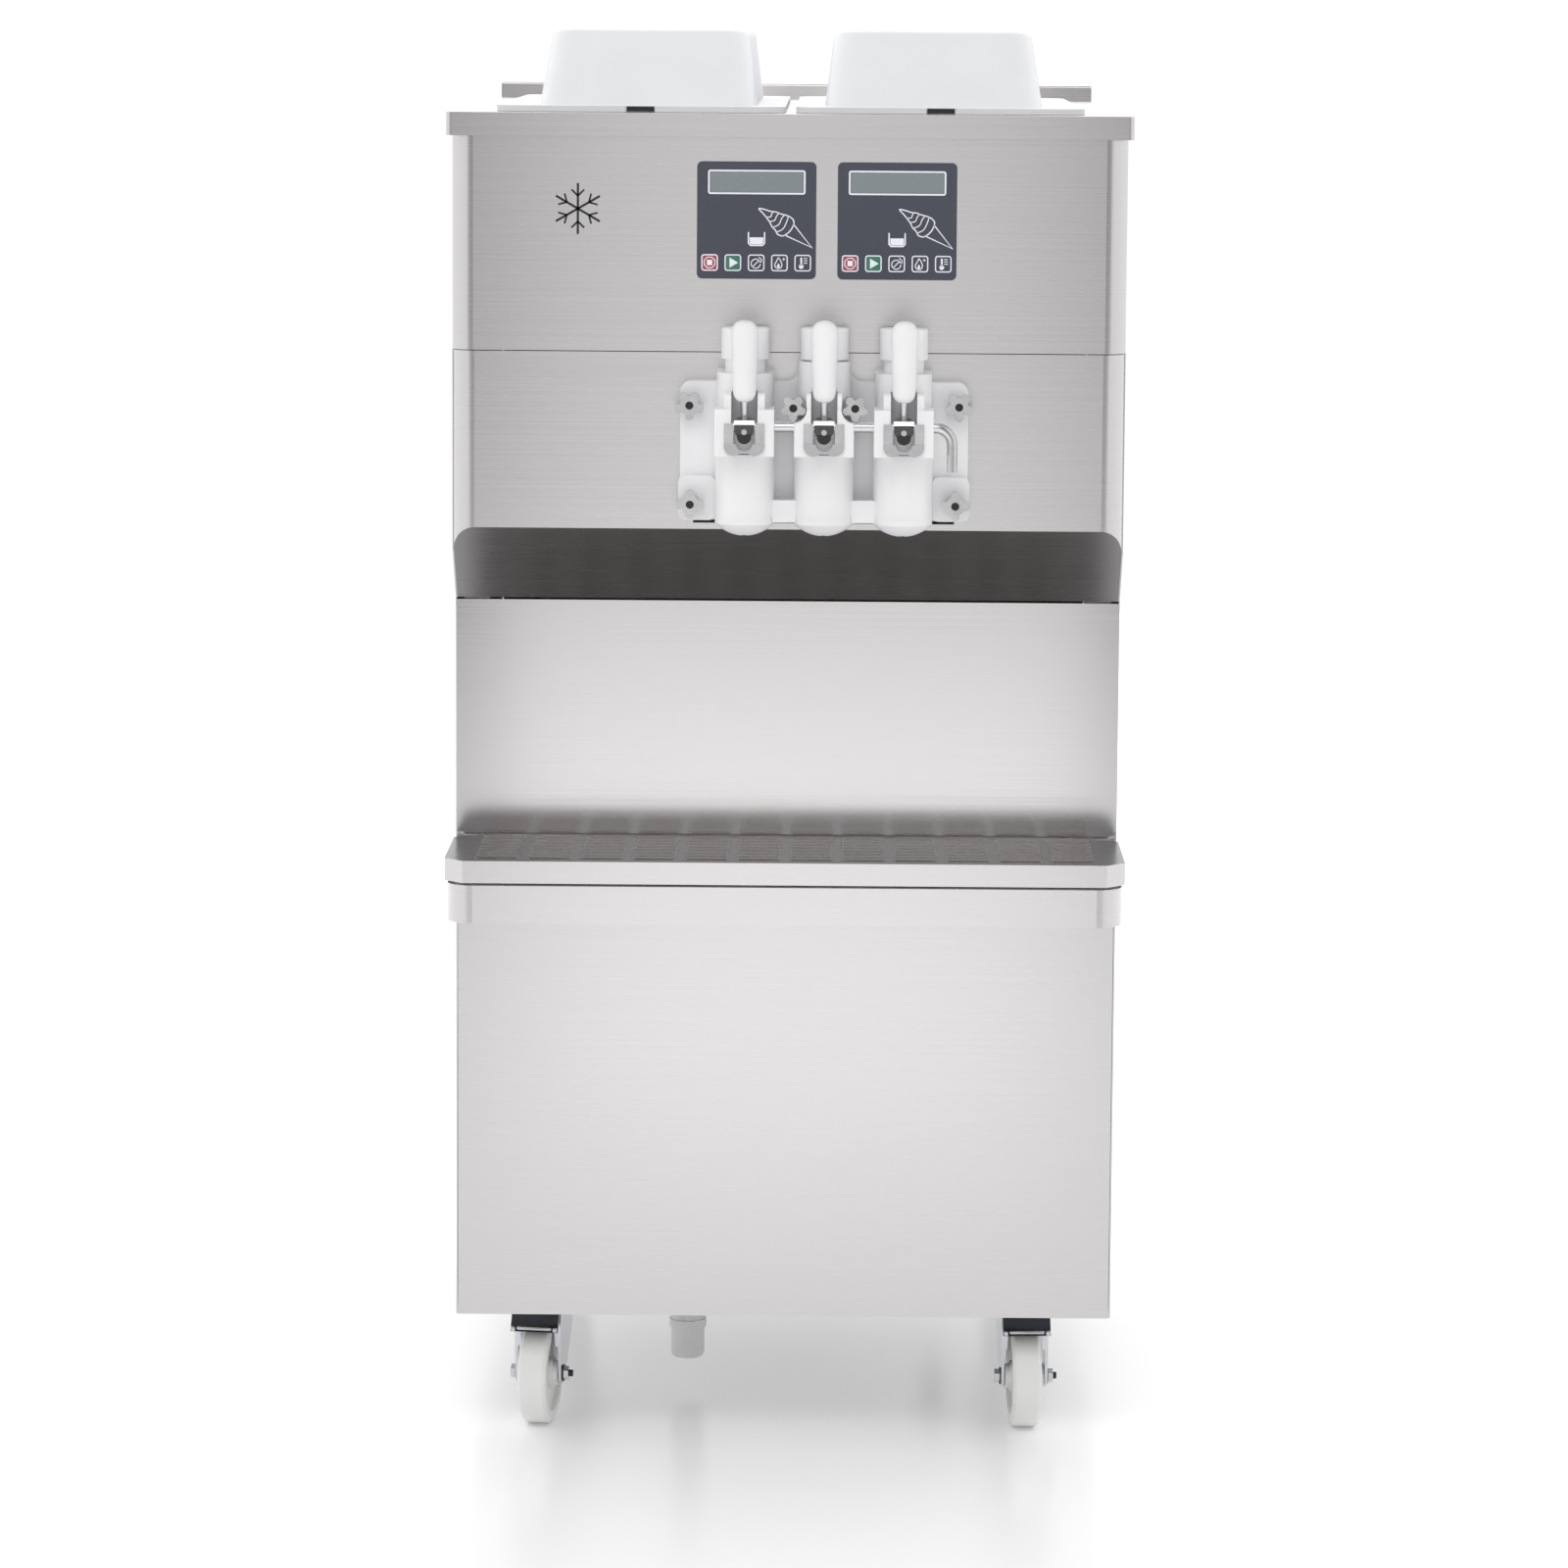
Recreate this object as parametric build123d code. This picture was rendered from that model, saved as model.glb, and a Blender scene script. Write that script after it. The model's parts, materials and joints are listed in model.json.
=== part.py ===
from build123d import *
import math
import os

# A floor-standing twin-flavour soft serve machine. Millimetres, +Z up, front facing -Y.
# Origin: on the floor, at the centre of the outline seen from above.

# ---------------------------------------------------------------- driving dimensions
BODY_HALF = 320.0        # half the width of the cabinet
SHEET = 1.5              # stainless sheet thickness
TOP_HALF = 324.5         # half the width of the top cover
Y_REAR = 445.0
Y_HEAD = -345.0          # front of the overhanging head
Y_LOWER = -279.0         # front of the splash panel and of the lower panel
Y_TRAY = -445.0          # front of the drip tray
Z_BODY = 124.0           # lower edge of the cabinet skins
Z_BASE = 127.0           # underside of the base plate
Z_SHELF = 539.0
Z_SHELF_TOP = 575.0
Z_GRILLE = 599.0
Z_SPLASH_TOP = 830.0
Z_HEAD = 904.0           # lower front edge of the head
Z_SEAM = 1072.0          # joint between the two head panels
Z_BAND = 1275.0
Z_TOP = 1297.0
Z_UPSTAND = 1314.0
Z_LID = 1375.0
HEAD_R = 21.0            # vertical front corners of the head
SEAM_GAP = 0.8
LOWER_HEAD_HALF = BODY_HALF - 1.3

DOOR_X = 34.0            # centre of the dispensing door and of the two freezing cylinders
DOOR_THICK = 20.0
COLUMN_PITCH = 74.5
COLUMN_HALF = 28.0
Y_VALVE = -380.0         # axis of the valve pistons
Y_PIVOT = -414.0         # axis of the lever rod
Z_PIVOT = 1007.0
PISTON_R = 19.0
ROD_R = 5.0
RUNNING = 0.05           # radial clearance of the running fits
LEVER_TILT = 10.0        # forward lean of the grips at rest, degrees
LEVER_REACH = 28.0       # from the rod to the tip of the finger that lifts the piston
ARM_R = 3.6              # lever arm inside the grip
SLOT_HALF = 12.3         # half the width of the slot that each lever works in
STUD_R = 4.0

CYL_X = 62.0             # freezing cylinders, either side of the door's centre
CYL_Z = 970.0
CYL_R = 59.0
CHAMBER_R = 50.0
Y_CYL_REAR = 60.0

LID_X = 142.5            # centre of each hopper and lid
LID_HALF = 137.5
LID_SHIFT = 6.0          # the raised part sits nearer the middle than its flange
LID_Y = (-315.0, 245.0)
HOPPER_HALF = 126.0
HOPPER_Y = (-290.0, 220.0)
HOPPER_Z = 1090.0

WHEEL_R = 50.0
TRAIL = 35.0             # from the swivel axis to the axle
PEDAL_HINGE = (-41.0, 118.0)
CASTERS = {              # swivel axis X, Y and the direction the wheel trails in, degrees from +X
    "front_left": (-236.0, -180.0, 262.0),
    "front_right": (236.0, -180.0, 273.5),
    "rear_left": (-236.0, 350.0, 102.0),
    "rear_right": (236.0, 350.0, 84.0),
}
SIDES = {"left": -1, "right": 1}
COLUMNS = {"left": -1, "middle": 0, "right": 1}


# ---------------------------------------------------------------- helpers
def slab(x, y, z):
    """A block between two values on each axis."""
    size = [abs(pair[1] - pair[0]) for pair in (x, y, z)]
    middle = [(pair[0] + pair[1]) / 2 for pair in (x, y, z)]
    return Pos(*middle) * Box(*size)


def column(x, y, radius, z):
    """An upright cylinder."""
    return Pos(x, y, (z[0] + z[1]) / 2) * Cylinder(radius, z[1] - z[0])


def bar_x(y, z, radius, x):
    """A cylinder along X."""
    return Pos((x[0] + x[1]) / 2, y, z) * Rot(0, 90, 0) * Cylinder(radius, x[1] - x[0])


def bar_y(x, z, radius, y):
    """A cylinder along Y."""
    return Pos(x, (y[0] + y[1]) / 2, z) * Rot(90, 0, 0) * Cylinder(radius, y[1] - y[0])


def rounded_block(x, y, z, radius):
    """A block with rounded upright edges."""
    outline = RectangleRounded(abs(x[1] - x[0]), abs(y[1] - y[0]), radius)
    place = Pos((x[0] + x[1]) / 2, (y[0] + y[1]) / 2, z[0])
    return extrude(place * outline, z[1] - z[0])


def side_prism(points, x):
    """A prism along X with its outline given as (y, z)."""
    outline = make_face(Polyline(*[(x[0], y, z) for y, z in points], close=True))
    return extrude(outline, x[1] - x[0], dir=(1, 0, 0))


def plan_prism(points, z):
    """An upright prism with its outline given as (x, y)."""
    outline = make_face(Polyline(*[(px, py, z[0]) for px, py in points], close=True))
    return extrude(outline, z[1] - z[0], dir=(0, 0, 1))


def slot_field(places, length, width):
    """A flat field of round-ended slots."""
    return Sketch() + [place * SlotOverall(length, width) for place in places]


def group(solids):
    """Separate solids that share one node."""
    return Compound(children=[s.solid() if not isinstance(s, Solid) else s for s in solids])


def column_x(side):
    return DOOR_X + side * COLUMN_PITCH


# ---------------------------------------------------------------- cabinet skins
def head_wrap(half, z):
    """Front sheet of the head, folded round both front corners."""
    deep = Y_HEAD + 4 * HEAD_R
    outer = rounded_block((-half, half), (Y_HEAD, deep), z, HEAD_R)
    inner = rounded_block(
        (-half + SHEET, half - SHEET), (Y_HEAD + SHEET, deep + HEAD_R), z, HEAD_R - SHEET
    )
    front = slab((-half, half), (Y_HEAD, Y_HEAD + HEAD_R), z)
    return (outer - inner) & front


def head_upper_panel():
    return head_wrap(BODY_HALF, (Z_SEAM + SEAM_GAP, Z_BAND))


SLOPE = (Z_HEAD - Z_SPLASH_TOP) / (Y_LOWER - Y_HEAD)


def slope_z(y):
    """Height of the undercut's outer face at a depth."""
    return Z_HEAD - SLOPE * (y - Y_HEAD)


def head_lower_panel():
    """Lower front sheet of the head with the slanting undercut folded on to it."""
    bottom = Z_SPLASH_TOP
    wrap = head_wrap(LOWER_HEAD_HALF, (bottom, Z_SEAM))
    below = [(Y_HEAD - 5, slope_z(Y_HEAD - 5)), (Y_LOWER, bottom), (Y_LOWER, bottom - 5),
             (Y_HEAD - 5, bottom - 5)]
    wide = (-BODY_HALF, BODY_HALF)
    wrap = wrap - side_prism(below, wide)
    rise = SHEET * math.hypot(1, SLOPE)
    sheet = [(Y_HEAD, slope_z(Y_HEAD)), (Y_LOWER, bottom), (Y_LOWER, bottom + rise),
             (Y_HEAD, slope_z(Y_HEAD) + rise)]
    outline = rounded_block(
        (-LOWER_HEAD_HALF, LOWER_HEAD_HALF),
        (Y_HEAD, Y_HEAD + 6 * HEAD_R),
        (bottom - 5, Z_HEAD + 5),
        HEAD_R,
    )
    undercut = side_prism(sheet, wide) & outline
    for side in (-1, 1):
        edge = sorted((side * (BODY_HALF - SHEET - 0.2), side * BODY_HALF))
        undercut -= slab(edge, (Y_HEAD + HEAD_R, Y_LOWER + 1), (bottom - 5, Z_HEAD))
    window = slab((DOOR_X - 124, DOOR_X + 124), (Y_HEAD - 1, Y_HEAD + 5), (CYL_Z - 60, CYL_Z + 60))
    return wrap + undercut - window


def side_panel(side):
    corner = Y_HEAD + HEAD_R + 0.2
    behind_front = Y_LOWER + SHEET + 0.2
    outline = [
        (Y_REAR - 4, Z_BODY), (Y_REAR - 4, Z_BAND), (corner, Z_BAND), (corner, slope_z(corner)),
        (behind_front, slope_z(behind_front)), (behind_front, Z_BODY),
    ]
    faces = sorted((side * BODY_HALF, side * (BODY_HALF - SHEET)))
    return side_prism(outline, faces)


def rear_panel():
    """Rear sheet with two fields of ventilation slots."""
    half = BODY_HALF - SHEET - 0.5
    sheet = slab((-half, half), (Y_REAR - 3.5, Y_REAR - 2), (Z_BODY, Z_BAND))
    slots = slot_field(GridLocations(190, 16, 3, 10), 150, 6)
    for z in (360, 1130):
        sheet -= Pos(0, Y_REAR - 8, z) * Rot(90, 0, 0) * Pos(0, 0, -10) * extrude(slots, 10)
    return sheet


def top_cover():
    """Cover plate with its folded skirt, cut out over both hoppers."""
    front = Y_HEAD - 4.5
    outer = rounded_block((-TOP_HALF, TOP_HALF), (front, Y_REAR), (Z_BAND, Z_TOP), 5)
    under = rounded_block(
        (-TOP_HALF + SHEET, TOP_HALF - SHEET),
        (front + SHEET, Y_REAR - SHEET),
        (Z_BAND, Z_TOP - SHEET),
        3.5,
    )
    cover = outer - under
    for side in SIDES.values():
        cover -= hopper_space(side, (Z_BAND, Z_TOP + 1))
    return cover


def rear_upstand():
    wide = (-BODY_HALF + 2, BODY_HALF - 2)
    cap = slab(wide, (Y_REAR - 42, Y_REAR - 4), (Z_TOP, Z_UPSTAND))
    cap = fillet(cap.edges().group_by(Axis.Z)[-1], 3)
    inner = (wide[0] + SHEET, wide[1] - SHEET)
    return cap - slab(inner, (Y_REAR - 40.5, Y_REAR - 5.5), (Z_TOP, Z_UPSTAND - SHEET))


def splash_panel():
    half = BODY_HALF - 0.4
    return slab((-half, half), (Y_LOWER, Y_LOWER + SHEET), (Z_SHELF_TOP + 1, Z_SPLASH_TOP - 2))


def lower_front_panel():
    half = BODY_HALF - 2
    return slab((-half, half), (Y_LOWER, Y_LOWER + SHEET), (Z_BODY, Z_SHELF_TOP - 3))


def drip_shelf():
    """Folded shelf below the drip tray, rounded at its two front corners."""
    half = BODY_HALF - 1.5
    front = Y_TRAY + 4
    z = (Z_SHELF, Z_SHELF_TOP)
    outer = rounded_block((-half, half), (front, Y_LOWER + 60), z, 25)
    inner = rounded_block(
        (-half + SHEET, half - SHEET), (front + SHEET, Y_LOWER + 90), (z[0], z[1] - SHEET), 23.5
    )
    return (outer - inner) & slab((-half, half), (front, Y_LOWER - 0.1), z)


# ---------------------------------------------------------------- drip tray
TRAY_CUT = 18.0          # bevel of the tray's front corners
TRAY_FLANGE = 21.0
Y_TRAY_BACK = Y_LOWER - 11


def tray_outline(inset, z, back):
    half = BODY_HALF + 0.6 - inset
    cut = TRAY_CUT - inset * math.tan(math.radians(22.5))
    front = Y_TRAY + inset
    rear = back - 8
    return plan_prism(
        [(-half, rear), (-half, front + cut), (-half + cut, front), (half - cut, front),
         (half, front + cut), (half, rear), (half - 8, back), (-half + 8, back)],
        z,
    )


def drip_grille():
    """Slotted tray cover; its folded front, corner and side flanges meet it face to face."""
    fold = Z_GRILLE - SHEET
    slots = slot_field(GridLocations(49.4, 18.6, 12, 8), 42.6, 10)
    top = tray_outline(0, (fold, Z_GRILLE), Y_TRAY_BACK)
    top -= Pos(0, -361.5, Z_GRILLE - 5) * extrude(slots, 10)
    low = (Z_GRILLE - TRAY_FLANGE, fold)
    rim = tray_outline(0, low, Y_TRAY_BACK) - tray_outline(SHEET, low, Y_TRAY_BACK + 20)
    straight = BODY_HALF + 0.6 - TRAY_CUT
    front = rim & slab((-straight, straight), (Y_TRAY, Y_TRAY + SHEET), low)
    sides = rim & slab((-400, 400), (Y_TRAY + TRAY_CUT, Y_TRAY_BACK - 8), low)
    corners = rim - slab((-straight, straight), (Y_TRAY - 1, 0), low)
    corners -= slab((-400, 400), (Y_TRAY + TRAY_CUT, 0), low)
    return group([*top.solids(), *front.solids(), *sides.solids(), *corners.solids()])


def drip_pan():
    x, y = 300.0, (-430.0, -292.0)
    z = (Z_SHELF_TOP + 0.3, Z_GRILLE - 4)
    wall = 1.2
    outer = rounded_block((-x, x), y, z, 14)
    inner = rounded_block(
        (-x + wall, x - wall), (y[0] + wall, y[1] - wall), (z[0] + wall, z[1] + 1), 14 - wall
    )
    return outer - inner


# ---------------------------------------------------------------- frame and inside
def base_plate():
    edge = BODY_HALF - 4
    return slab((-edge, edge), (Y_LOWER + 4, Y_REAR - 6), (Z_BASE, Z_BASE + 3))


def frame_tubes():
    """Square tubes: floor rails, four posts and the two bearers of the freezing cylinders."""
    tube = 25.0
    x = BODY_HALF - 33
    front, rear = Y_LOWER + 5, Y_REAR - 10
    low = (Z_BASE + 3, Z_BASE + 3 + tube)
    post = (low[1], Z_BAND - 5)
    tubes = []
    for side in (-1, 1):
        across = sorted((side * x, side * (x + tube)))
        tubes.append(slab(across, (front, rear), low))
        tubes.append(slab(across, (front, front + tube), post))
        tubes.append(slab(across, (rear - tube, rear), post))
    bearer = (CYL_Z - CYL_R - tube, CYL_Z - CYL_R)
    tubes.append(slab((-x, x), (front, front + tube), bearer))
    tubes.append(slab((-x - tube, x + tube), (0, tube), bearer))
    tubes.append(slab((-x, x), (rear - tube, rear), low))
    return group(tubes)


def hopper_space(side, z):
    """Room inside a hopper, between two heights."""
    wall = 2.0
    middle = side * LID_X
    half = HOPPER_HALF - wall
    return rounded_block(
        (middle - half, middle + half), (HOPPER_Y[0] + wall, HOPPER_Y[1] - wall), z, 28
    )


def hoppers():
    """Two open mix tanks hanging under the top cover."""
    tanks = []
    for side in SIDES.values():
        middle = side * LID_X
        outer = rounded_block(
            (middle - HOPPER_HALF, middle + HOPPER_HALF), HOPPER_Y, (HOPPER_Z, Z_TOP - SHEET), 30
        )
        tank = outer - hopper_space(side, (HOPPER_Z + 2, Z_TOP))
        tanks.append(tank - column(feed_x(side), FEED_Y, 9, (HOPPER_Z - 1, HOPPER_Z + 3)))
    return group(tanks)


FEED_Y = -100.0


def feed_x(side):
    """The feed tubes stand over the freezing cylinders, inside the hoppers' floors."""
    return -40.0 if side < 0 else DOOR_X + CYL_X


def cylinder_x(side):
    return DOOR_X + side * CYL_X


def feed_tubes():
    tubes = []
    for side in SIDES.values():
        pipe = column(feed_x(side), FEED_Y, 12, (CYL_Z + 40, HOPPER_Z))
        pipe -= bar_y(cylinder_x(side), CYL_Z, CYL_R, (FEED_Y - 20, FEED_Y + 20))
        tubes.append(pipe - column(feed_x(side), FEED_Y, 9, (CYL_Z, HOPPER_Z + 1)))
    return group(tubes)


def freezing_cylinders():
    barrels = []
    for side in SIDES.values():
        x = cylinder_x(side)
        barrel = bar_y(x, CYL_Z, CYL_R, (Y_HEAD, Y_CYL_REAR))
        barrel -= bar_y(x, CYL_Z, CHAMBER_R, (Y_HEAD - 1, Y_CYL_REAR - 12))
        barrels.append(barrel - bar_y(x, CYL_Z, 8 + RUNNING, (Y_CYL_REAR - 13, Y_CYL_REAR + 1)))
    return group(barrels)


def beater(side):
    """Cage beater: a shaft, two end stars and three scraper bars."""
    x = cylinder_x(side)
    front, rear = Y_HEAD + 6, Y_CYL_REAR - 16
    turning = bar_y(x, CYL_Z, 8, (front, Y_CYL_REAR + 16))
    for spoke in range(3):
        turn = Pos(x, 0, CYL_Z) * Rot(0, 120 * spoke, 0)
        turning += turn * slab((-4, 4), (front, rear), (40, 48.5))
        for y in (front, (front + rear) / 2, rear - 10):
            turning += turn * slab((-4, 4), (y, y + 10), (0, 42))
    return turning


def gearmotors():
    """Gearbox and motor behind each freezing cylinder."""
    drives = []
    for side in SIDES.values():
        x = cylinder_x(side)
        box = slab((x - 57, x + 57), (Y_CYL_REAR, 160), (CYL_Z - 60, CYL_Z + 60))
        drive = box + bar_y(x, CYL_Z, 50, (160, 330))
        drives.append(drive - bar_y(x, CYL_Z, 8 + RUNNING, (Y_CYL_REAR - 1, Y_CYL_REAR + 18)))
    return group(drives)


def compressor():
    x, y, low = -150.0, 120.0, Z_BASE + 3
    foot = rounded_block((x - 95, x + 95), (y - 95, y + 95), (low, low + 6), 20)
    shell = column(x, y, 82, (low + 6, low + 250))
    shell = fillet(shell.edges().group_by(Axis.Z)[-1], 40)
    return foot + shell


FAN_X, FAN_Z = 120.0, 320.0


def condenser():
    """Finned block with the fan's shroud in front of it."""
    x = (FAN_X - 150, FAN_X + 150)
    z = (FAN_Z - 150, FAN_Z + 150)
    block = slab(x, (350, 400), z)
    shroud = slab(x, (300, 350), z) - bar_y(FAN_X, FAN_Z, 132, (299, 351))
    motor = bar_y(FAN_X, FAN_Z, 20, (330, 350)) - bar_y(FAN_X, FAN_Z, 4 + RUNNING, (329, 345))
    return block + shroud + motor


def condenser_fan():
    fan = bar_y(FAN_X, FAN_Z, 30, (308, 328)) + bar_y(FAN_X, FAN_Z, 4, (320, 342))
    for blade in range(5):
        flat = slab((-22, 22), (-1, 1), (25, 125))
        fan += Pos(FAN_X, 318, FAN_Z) * Rot(0, 72 * blade, 0) * Rot(0, 0, 22) * flat
    return fan


def electrical_box():
    outer = slab((-275, -25), (-262, -150), (310, 560))
    return outer - slab((-273.5, -26.5), (-260.5, -151.5), (311.5, 558.5))


def drain_fitting():
    """White drain trap hanging under the base plate."""
    x, y = -99.0, -60.0
    trap = column(x, y, 17, (28, 108)) + column(x, y, 10, (107, Z_BASE)) + column(x, y, 19, (60, 68))
    return fillet(trap.edges().group_by(Axis.Z)[0], 6)


# ---------------------------------------------------------------- lids
def lid_box(side, grow, low, high):
    """The raised part of a lid: its sides lean inwards and its front leans well back."""
    sections = []
    for z in (low, high):
        lean = (z - (Z_TOP + 6)) / (Z_LID - Z_TOP - 6)
        width = 208 - 18 * lean + 2 * grow
        front = LID_Y[0] + 32 + 80 * lean - grow
        rear = LID_Y[1] - 32 - 10 * lean + grow
        place = Pos(side * (LID_X - LID_SHIFT), (front + rear) / 2, z)
        sections.append(place * RectangleRounded(width, rear - front, 26 + grow))
    return loft(sections)


def hopper_lid(side):
    middle = side * LID_X
    flange = rounded_block(
        (middle - LID_HALF, middle + LID_HALF), LID_Y, (Z_TOP + 0.3, Z_TOP + 6), 24
    )
    raised = lid_box(side, 0, Z_TOP + 5, Z_LID)
    raised = fillet(raised.edges().group_by(Axis.Z)[-1], 10)
    notch = slab((middle - 14, middle + 14), (LID_Y[0] - 1, LID_Y[0] + 7), (Z_TOP, Z_TOP + 7))
    return flange + raised - lid_box(side, -3, Z_TOP, Z_LID - 3) - notch


# ---------------------------------------------------------------- controls
PANEL_X = (-31.25, 101.5)
PANEL_SIZE = (112.5, 110.5)
PANEL_Z = 1197.0
WINDOW = (90.0, 21.0)
WINDOW_Z = 1233.0


def control_overlays():
    plates = []
    for x in PANEL_X:
        wide = (x - PANEL_SIZE[0] / 2, x + PANEL_SIZE[0] / 2)
        tall = (PANEL_Z - PANEL_SIZE[1] / 2, PANEL_Z + PANEL_SIZE[1] / 2)
        plate = slab(wide, (Y_HEAD - 1.2, Y_HEAD), tall)
        plate = fillet(plate.edges().filter_by(Axis.Y), 5)
        plates.append(plate - display(x, -0.05, (Y_HEAD - 2, Y_HEAD + 1)))
    return group(plates)


def display(x, shrink, y):
    half, rise = WINDOW[0] / 2 - shrink, WINDOW[1] / 2 - shrink
    return slab((x - half, x + half), y, (WINDOW_Z - rise, WINDOW_Z + rise))


def display_windows():
    return group([display(x, 0, (Y_HEAD - 0.9, Y_HEAD)) for x in PANEL_X])


# ---------------------------------------------------------------- dispensing door
Y_PLATE = Y_HEAD - DOOR_THICK
KNOBS = {                # X from the door's centre, Z, depth of the seat, number of lobes, radius
    "upper_left": (-127.0, 1024.0, Y_PLATE, 5, 13.8),
    "inner_left": (-29.0, 1024.0, Y_PLATE - 26, 5, 12.2),
    "inner_right": (29.0, 1024.0, Y_PLATE - 26, 5, 12.2),
    "upper_right": (127.0, 1024.0, Y_PLATE, 5, 13.8),
    "lower_left": (-126.0, 931.0, Y_PLATE - 7, 4, 13.8),
    "lower_right": (124.0, 931.0, Y_PLATE - 7, 4, 13.8),
}
STUD_END = 8.0           # how far each stud stands in front of its seat
BLOCK_FRONT = -427.0
BLOCK_Z = (980.0, 1024.0)


def door_plate():
    """Back plate of the door, with its top tabs and thicker lower corners."""
    left, right = DOOR_X - 136, DOOR_X + 136
    y = (Y_PLATE, Y_HEAD)
    plate = slab((left, right), y, (915, 1046))
    plate = fillet(plate.edges().filter_by(Axis.Y), 10)
    for side in (-1, 1):
        x = column_x(side)
        plate += slab((x - 27, x + 27), y, (1040, 1057))
        corner = DOOR_X + side * 136
        pad = slab(sorted((corner + side * 1.5, corner - side * 34)), (Y_PLATE - 7, Y_HEAD), (915, 957))
        plate += fillet(pad.edges().filter_by(Axis.Y), 7)
        flare = DOOR_X + side * 24.5
        fill = slab(sorted((flare - side * 2, flare + side * 12)), y, (1045, 1058))
        plate += fill - bar_y(flare + side * 12, 1058, 12, (Y_PLATE - 1, Y_HEAD + 1))
    tab = slab((DOOR_X - 24.5, DOOR_X + 24.5), y, (1040, 1068))
    return plate + fillet(tab.edges().filter_by(Axis.Y).group_by(Axis.Z)[-1], 4)


def valve_column(side):
    """One valve housing: rounded barrel, square lever block and two ears."""
    x = column_x(side)
    top = 1067.0 if side == 0 else 1056.0
    barrel = 24.5 if side == 0 else 26.5
    body = column(x, Y_VALVE, barrel, (980, top))
    body += slab((x - barrel, x + barrel), (Y_VALVE, Y_PLATE + 1), (980, top))
    body += column(x, Y_VALVE, COLUMN_HALF, (920, 990))
    body += slab((x - COLUMN_HALF, x + COLUMN_HALF), (Y_VALVE, Y_PLATE + 1), (920, 990))
    block = slab((x - COLUMN_HALF, x + COLUMN_HALF), (BLOCK_FRONT, Y_PLATE + 1), BLOCK_Z)
    body += fillet(block.edges().filter_by(Axis.Z).group_by(Axis.Y)[0], 2)
    ear_half = 16.6 if side == 0 else 19.0
    for ear in (-1, 1):
        face = sorted((x + ear * SLOT_HALF, x + ear * ear_half))
        cheek = slab(face, (BLOCK_FRONT + 4, Y_VALVE - 15), (1020, 1039))
        body += fillet(cheek.edges().filter_by(Axis.X).group_by(Axis.Z)[-1], 6)
    return body


def dispensing_door():
    door = door_plate()
    door += slab((DOOR_X - 100, DOOR_X + 100), (Y_PLATE - 26, Y_PLATE + 1), (915, 936))
    for side in COLUMNS.values():
        door += valve_column(side)
    for side in COLUMNS.values():
        x = column_x(side)
        door -= column(x, Y_VALVE, PISTON_R + RUNNING, (930, 1080))
        door -= column(x, Y_VALVE, 11, (910, 931))
        door -= slab((x - SLOT_HALF, x + SLOT_HALF), (BLOCK_FRONT - 1, Y_VALVE - 8), (980, 1040))
        door -= column(x, Y_VALVE, 28.3, (900, 920))
    door -= bar_x(Y_PIVOT, Z_PIVOT, ROD_R + RUNNING, (DOOR_X - 110, DOOR_X + 110))
    for dx, z, seat, _, reach in KNOBS.values():
        door -= bar_y(DOOR_X + dx, z, STUD_R + 0.5, (seat - 1, Y_HEAD + 1))
        door -= bar_y(DOOR_X + dx, z, reach + 0.6, (seat - 40, seat))
    return door


def door_studs():
    return group([
        bar_y(DOOR_X + dx, z, STUD_R, (seat - STUD_END, Y_HEAD))
        for dx, z, seat, _, _ in KNOBS.values()
    ])


def spout_caps():
    """Domed outlet caps with a star-shaped mouth."""
    caps = []
    for side in COLUMNS.values():
        x = column_x(side)
        dome = column(x, Y_VALVE, 28, (901.5, 920)) & (Pos(x, Y_VALVE, 901.5 + 38) * Sphere(38))
        dome -= column(x, Y_VALVE, 7, (900, 925))
        for tooth in range(6):
            ray = slab((-1.5, 1.5), (0, 10.5), (900, 925))
            dome -= Pos(x, Y_VALVE, 0) * Rot(0, 0, 60 * tooth) * ray
        caps.append(dome)
    return group(caps)


def spring_clips():
    """Steel plates on the front of the lever blocks; the lower lip flares out in two lobes."""
    clips = []
    front = BLOCK_FRONT
    depth = (front - 6, front + 1)
    profile = [(front, 1011), (front - 0.8, 1011), (front - 0.8, 993.4), (front - 3.2, 980),
               (front - 2.3, 980), (front, 993)]
    for side in COLUMNS.values():
        x = column_x(side)
        outline = slab((x - 19, x + 19), depth, (990, 1012))
        outline += slab((x - 10, x + 10), depth, (983, 991))
        for lobe in (-1, 1):
            outline += bar_y(x + lobe * 10, 990, 9, depth)
        clip = side_prism(profile, (x - 19, x + 19)) & outline
        clip -= slab((x - 10.3, x + 10.3), depth, (992, 1012))
        clips.append(clip - bar_y(x, 993.6, 8.3, depth))
    return group(clips)


def valve_piston(side):
    """White plunger with a wide head and a pocket for the lever's finger."""
    x = column_x(side)
    piston = column(x, Y_VALVE, PISTON_R, (932, 1069)) + column(x, Y_VALVE, 22.7, (1069, 1098))
    piston = fillet(piston.edges().group_by(Axis.Z)[-1], 2)
    mouth = slab((x - 7, x + 7), (Y_VALVE - 20, Y_VALVE - 4), (Z_PIVOT - 7.5, Z_PIVOT + 7.5))
    lip, low = Y_VALVE - PISTON_R - 1.5, Z_PIVOT - 7
    flare = side_prism([(lip, low - 4.5), (lip, low), (lip + 7, low), (lip + 7, low - 0.5)], (x - 7, x + 7))
    return piston - mouth - flare


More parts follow.
